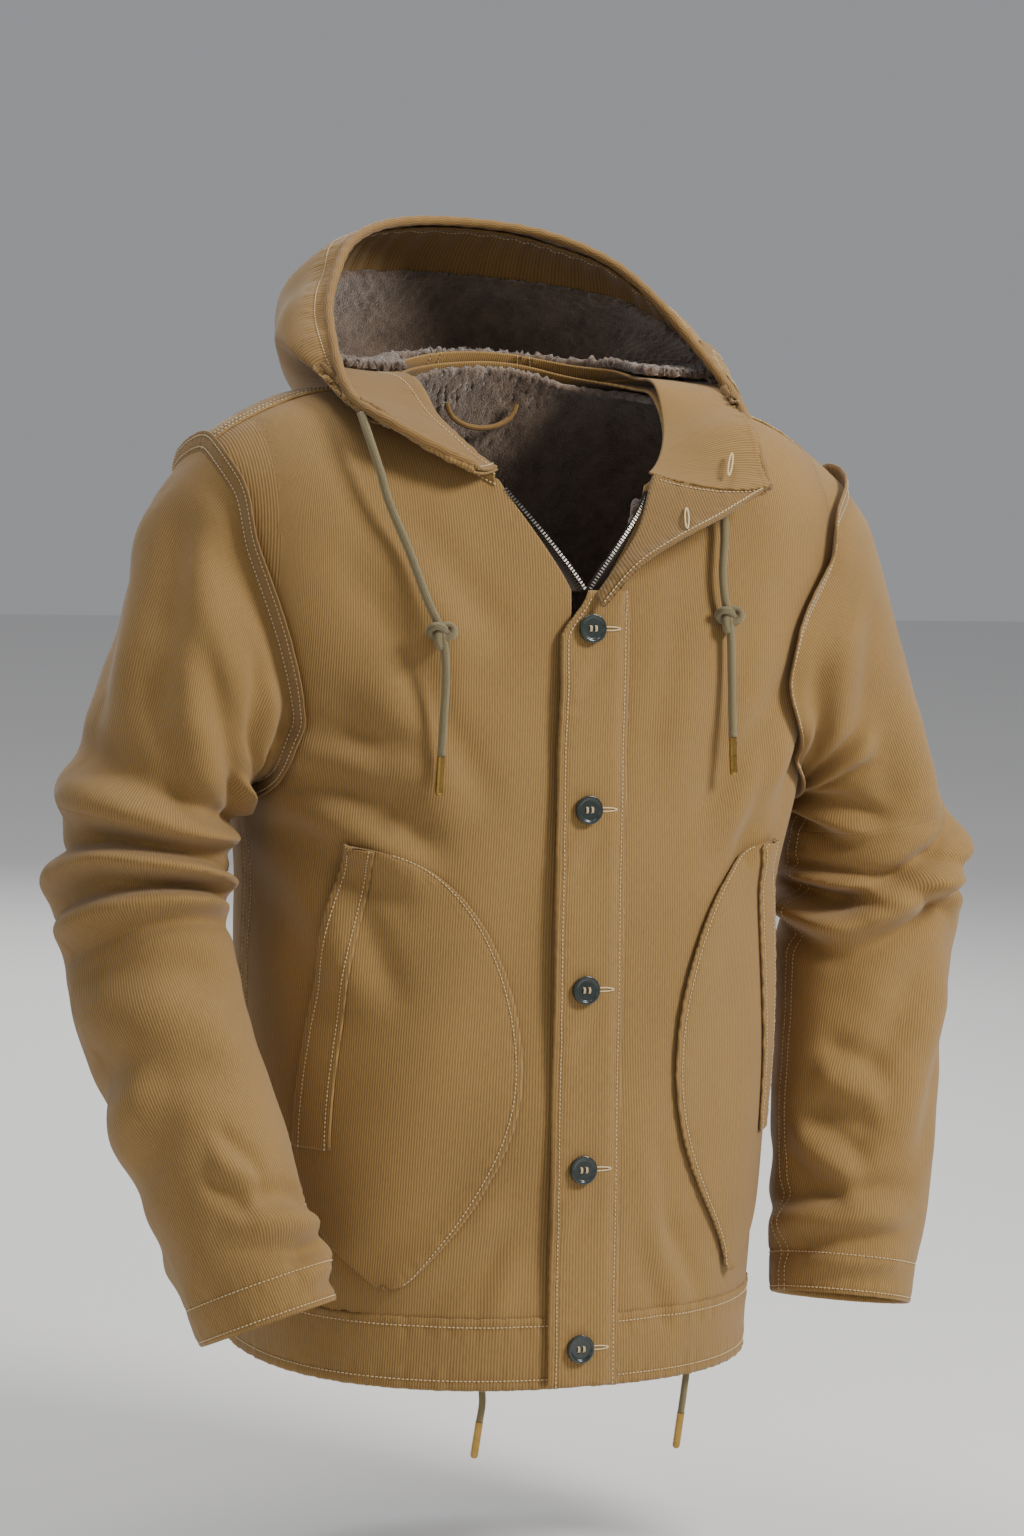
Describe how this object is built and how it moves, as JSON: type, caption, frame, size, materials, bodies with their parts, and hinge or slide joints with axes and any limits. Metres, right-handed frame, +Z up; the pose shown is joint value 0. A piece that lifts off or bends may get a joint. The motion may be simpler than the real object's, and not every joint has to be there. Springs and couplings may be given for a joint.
{
  "type": "hooded work jacket",
  "caption": "Short hooded cotton jacket with pile lining, buttoned flap over a zip, round pockets and drawcords.",
  "frame": {"origin": "middle of the neck opening, where the wearer's neck and shoulders carry the jacket", "axes": "+Z up, the front faces -Y, the wearer's left is +X"},
  "size_m": [0.708, 0.4134, 0.8659],
  "materials": {
    "cloth": "tan cotton with a fine vertical cord",
    "pile": "short dense pile",
    "zip_tape": "woven tape",
    "zip_metal": "bright metal",
    "brass": "polished",
    "cord": "round braid",
    "button": "polished slate green"
  },
  "bodies": {
    "jacket_body": {"back_panel": "cloth", "button_1": "button", "button_2": "button", "button_3": "button", "button_4": "button", "button_5": "button", "front_panel_left": "cloth", "front_panel_right": "cloth", "hanger_loop": "cloth", "hem_band_back": "cloth", "hem_band_left": "cloth", "hem_band_right": "cloth", "hood_center_panel": "cloth", "hood_chin_left": "cloth", "hood_chin_right": "cloth", "hood_facing": "cloth", "hood_lining": "pile", "hood_neck_lining": "pile", "hood_rim": "cloth", "hood_side_left": "cloth", "hood_side_right": "cloth", "hood_skirt": "cloth", "lapel_left": "cloth", "lining_back": "pile", "lining_front_left": "pile", "lining_front_right": "pile", "pocket_left": "cloth", "pocket_right": "cloth", "pocket_welt_left": "cloth", "pocket_welt_right": "cloth", "sleeve_head_left": "cloth", "sleeve_head_right": "cloth", "storm_flap": "cloth", "zip_box": "zip_metal", "zip_tape_left": "zip_tape", "zip_tape_right": "zip_tape", "zip_teeth_left": "zip_metal", "zip_teeth_right": "zip_metal"},
    "upper_sleeve_right": {"sleeve_elbow_right": "cloth", "sleeve_upper_top_right": "cloth", "sleeve_upper_under_right": "cloth"},
    "upper_sleeve_left": {"sleeve_elbow_left": "cloth", "sleeve_upper_top_left": "cloth", "sleeve_upper_under_left": "cloth"},
    "forearm_right": {"cuff_hem_right": "cloth", "sleeve_forearm_top_right": "cloth", "sleeve_forearm_under_right": "cloth"},
    "forearm_left": {"cuff_hem_left": "cloth", "sleeve_forearm_top_left": "cloth", "sleeve_forearm_under_left": "cloth"},
    "zip_slider_body": {"zip_slider": "zip_metal"},
    "zip_pull_body": {"zip_pull": "zip_metal"},
    "hood_cord_right_body": {"hood_cord_right": "cord", "hood_cord_right_tip": "brass"},
    "hood_cord_left_body": {"hood_cord_left": "cord", "hood_cord_left_tip": "brass"},
    "hem_cord_right_body": {"hem_cord_right": "cord", "hem_cord_right_tip": "brass"},
    "hem_cord_left_body": {"hem_cord_left": "cord", "hem_cord_left_tip": "brass"}
  },
  "joints": [
    {"name": "shoulder_right", "type": "hinge", "parent": "jacket_body", "child": "upper_sleeve_right", "pos_m": [-0.215, -0.003, -0.11], "axis": [0, 1, 0], "range_deg": [0, 40], "deforming": ["sleeve_head_right"]},
    {"name": "shoulder_left", "type": "hinge", "parent": "jacket_body", "child": "upper_sleeve_left", "pos_m": [0.215, -0.003, -0.118], "axis": [0, -1, 0], "range_deg": [0, 40], "deforming": ["sleeve_head_left"]},
    {"name": "elbow_right", "type": "hinge", "parent": "upper_sleeve_right", "child": "forearm_right", "pos_m": [-0.285, -0.02, -0.34], "axis": [-1, 0, 0], "range_deg": [0, 44], "deforming": ["sleeve_elbow_right"]},
    {"name": "elbow_left", "type": "hinge", "parent": "upper_sleeve_left", "child": "forearm_left", "pos_m": [0.288, -0.014, -0.332], "axis": [-1, 0, 0], "range_deg": [0, 44], "deforming": ["sleeve_elbow_left"]},
    {"name": "zip_slide", "type": "slide", "parent": "jacket_body", "child": "zip_slider_body", "axis": [0, -0.0797, -0.9968], "range_m": [0, 0.44]},
    {"name": "zip_pull_swing", "type": "hinge", "parent": "zip_slider_body", "child": "zip_pull_body", "pos_m": [0, -0.111, -0.158], "axis": [-1, 0, 0], "range_deg": [0, 4]},
    {"name": "hood_cord_right_swing", "type": "hinge", "parent": "jacket_body", "child": "hood_cord_right_body", "pos_m": [-0.157, -0.066, -0.018], "axis": [-1, 0, 0], "range_deg": [0, 25]},
    {"name": "hood_cord_left_swing", "type": "hinge", "parent": "jacket_body", "child": "hood_cord_left_body", "pos_m": [0.111, -0.091, -0.07], "axis": [-1, 0, 0], "range_deg": [0, 25]},
    {"name": "hem_cord_right_swing", "type": "hinge", "parent": "jacket_body", "child": "hem_cord_right_body", "pos_m": [-0.062, -0.133, -0.675], "axis": [-1, 0, 0], "range_deg": [0, 20]},
    {"name": "hem_cord_left_swing", "type": "hinge", "parent": "jacket_body", "child": "hem_cord_left_body", "pos_m": [0.104, -0.119, -0.675], "axis": [-1, 0, 0], "range_deg": [0, 20]}
  ]
}
